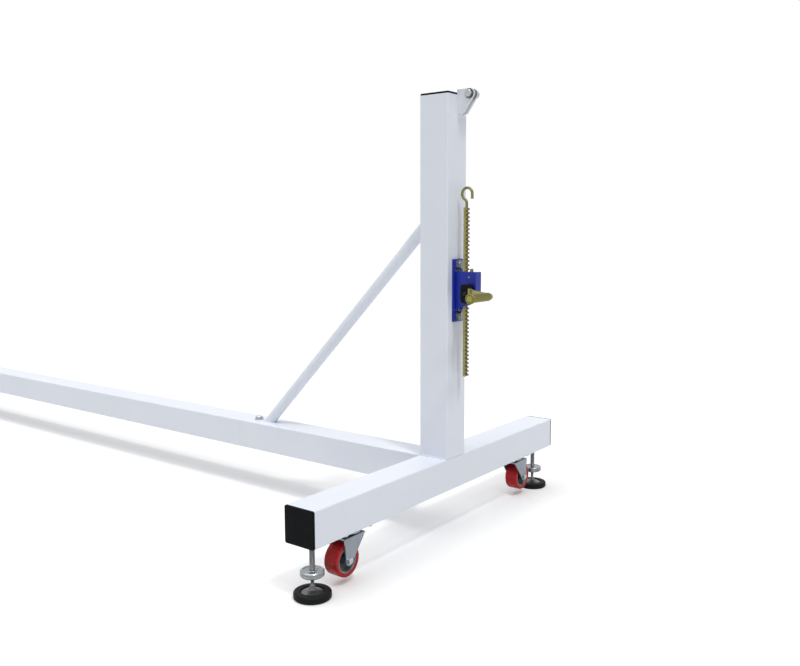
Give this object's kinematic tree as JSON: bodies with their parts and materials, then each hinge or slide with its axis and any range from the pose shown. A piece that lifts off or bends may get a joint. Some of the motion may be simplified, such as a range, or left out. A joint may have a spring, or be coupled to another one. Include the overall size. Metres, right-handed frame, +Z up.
{
  "type": "tennis net post",
  "caption": "Free-standing tennis net post on a T-shaped ground frame of square tube, with a round brace, levelling feet, casters, a top pulley and a rack-and-pinion cable tensioner.",
  "frame": {"origin": "on the floor under the middle of the whole object's box", "axes": "+X along the ground beam, away from the net and towards the tensioner; +Y along the cross beam, away from the crank; +Z up"},
  "size_m": [2.7306, 1.03, 1.079],
  "materials": {
    "white_paint": "smooth white powder coat",
    "black_plastic": "moulded black plastic, slightly satin",
    "bare_steel": "plain mill steel inside the tubes",
    "zinc": "bright zinc plated fasteners",
    "caster_steel": "zinc plated pressed steel",
    "foot_steel": "dull zinc plated steel",
    "rubber": "moulded black rubber",
    "red_tread": "red polyurethane",
    "hub_plastic": "grey moulded hub",
    "bronze": "sintered bronze bush",
    "blue_paint": "blue powder coat",
    "black_nylon": "black nylon",
    "yellow_zinc": "yellow passivated zinc plate",
    "black_steel": "blackened steel"
  },
  "bodies": {
    "frame": {"post_tube": "white_paint", "post_cap": "black_plastic", "cross_beam": "white_paint", "cross_caps": "black_plastic", "beam_stub": "white_paint", "tie_beam": "white_paint", "joint_sleeve": "bare_steel", "joint_bolt": "zinc", "joint_washer": "zinc", "weld_nuts": "bare_steel", "brace_tube": "white_paint", "caster_plates": "caster_steel", "caster_kingpins": "zinc", "caster_bolts": "zinc", "pulley_bracket": "white_paint", "pulley_bush": "bronze", "pulley_bolt": "zinc", "pulley_washers": "zinc", "pulley_nut": "zinc", "tensioner_plate": "blue_paint", "plate_bolts": "zinc", "plate_washers": "zinc", "housing": "blue_paint", "rack_guides": "black_nylon", "cross_pin": "zinc"},
    "pulley_wheel": {"pulley": "black_nylon"},
    "rack_bar": {"rack": "yellow_zinc", "hook": "yellow_zinc"},
    "crank": {"pinion": "black_steel", "pinion_shaft": "black_steel", "shaft_collar": "black_steel", "crank_hub": "black_nylon", "hub_screw": "black_steel", "crank_arm": "yellow_zinc", "grip_pin": "yellow_zinc"},
    "crank_grip": {"grip": "yellow_zinc"},
    "lock_plunger": {"plunger": "yellow_zinc"},
    "foot_near": {"foot_cup_near": "foot_steel", "foot_pad_near": "rubber"},
    "stem_near": {"foot_stem_near": "foot_steel", "foot_disc_near": "foot_steel"},
    "foot_far": {"foot_cup_far": "foot_steel", "foot_pad_far": "rubber"},
    "stem_far": {"foot_stem_far": "foot_steel", "foot_disc_far": "foot_steel"},
    "foot_tie": {"foot_cup_tie": "foot_steel", "foot_pad_tie": "rubber"},
    "stem_tie": {"foot_stem_tie": "foot_steel", "foot_disc_tie": "foot_steel"},
    "caster_near": {"fork_near": "caster_steel", "axle_near": "zinc", "axle_nut_near": "zinc"},
    "wheel_near": {"tread_near": "red_tread", "hub_near": "hub_plastic"},
    "caster_far": {"fork_far": "caster_steel", "axle_far": "zinc", "axle_nut_far": "zinc"},
    "wheel_far": {"tread_far": "red_tread", "hub_far": "hub_plastic"}
  },
  "joints": [
    {"name": "foot_near_height", "type": "slide", "parent": "frame", "child": "foot_near", "axis": [0, 0, 1], "range_m": [-0.012, 0.02]},
    {"name": "foot_near_screw", "type": "hinge", "parent": "foot_near", "child": "stem_near", "pos_m": [1.19466, -0.475, 0.019], "axis": [0, 0, 1], "range_deg": [-2480, 4130]},
    {"name": "foot_far_height", "type": "slide", "parent": "frame", "child": "foot_far", "axis": [0, 0, 1], "range_m": [-0.012, 0.02]},
    {"name": "foot_far_screw", "type": "hinge", "parent": "foot_far", "child": "stem_far", "pos_m": [1.19466, 0.475, 0.019], "axis": [0, 0, 1], "range_deg": [-2480, 4130]},
    {"name": "foot_tie_height", "type": "slide", "parent": "frame", "child": "foot_tie", "axis": [0, 0, 1], "range_m": [-0.012, 0.02]},
    {"name": "foot_tie_screw", "type": "hinge", "parent": "foot_tie", "child": "stem_tie", "pos_m": [-1.18534, 0, 0.019], "axis": [0, 0, 1], "range_deg": [-2480, 4130]},
    {"name": "caster_near_swivel", "type": "hinge", "parent": "frame", "child": "caster_near", "pos_m": [1.19466, -0.356, 0.105], "axis": [0, 0, 1], "continuous": true},
    {"name": "wheel_near_roll", "type": "hinge", "parent": "caster_near", "child": "wheel_near", "pos_m": [1.19466, -0.383, 0.054], "axis": [1, 0, 0], "continuous": true},
    {"name": "caster_far_swivel", "type": "hinge", "parent": "frame", "child": "caster_far", "pos_m": [1.19466, 0.356, 0.105], "axis": [0, 0, 1], "continuous": true},
    {"name": "wheel_far_roll", "type": "hinge", "parent": "caster_far", "child": "wheel_far", "pos_m": [1.19466, 0.383, 0.054], "axis": [1, 0, 0], "continuous": true},
    {"name": "pulley_spin", "type": "hinge", "parent": "frame", "child": "pulley_wheel", "pos_m": [1.26866, 0.0085, 1.067], "axis": [0, 1, 0], "continuous": true},
    {"name": "crank_turn", "type": "hinge", "parent": "frame", "child": "crank", "pos_m": [1.27716, 0, 0.6045], "axis": [0, 1, 0], "range_deg": [-630, 630]},
    {"name": "rack_slide", "type": "slide", "parent": "frame", "child": "rack_bar", "axis": [0, 0, 1], "range_m": [-0.132, 0.132]},
    {"name": "grip_spin", "type": "hinge", "parent": "crank", "child": "crank_grip", "pos_m": [1.35334, -0.09, 0.6025], "axis": [0, 1, 0], "continuous": true},
    {"name": "plunger_lift", "type": "slide", "parent": "frame", "child": "lock_plunger", "axis": [0, 0, 1], "range_m": [-0.004, 0.003]}
  ],
  "couplings": [
    {"joint": "foot_near_screw", "follows": "foot_near_height", "rad_per_m": 3590.4},
    {"joint": "foot_far_screw", "follows": "foot_far_height", "rad_per_m": 3590.4},
    {"joint": "foot_tie_screw", "follows": "foot_tie_height", "rad_per_m": 3590.4},
    {"joint": "rack_slide", "follows": "crank_turn", "m_per_rad": 0.012}
  ]
}
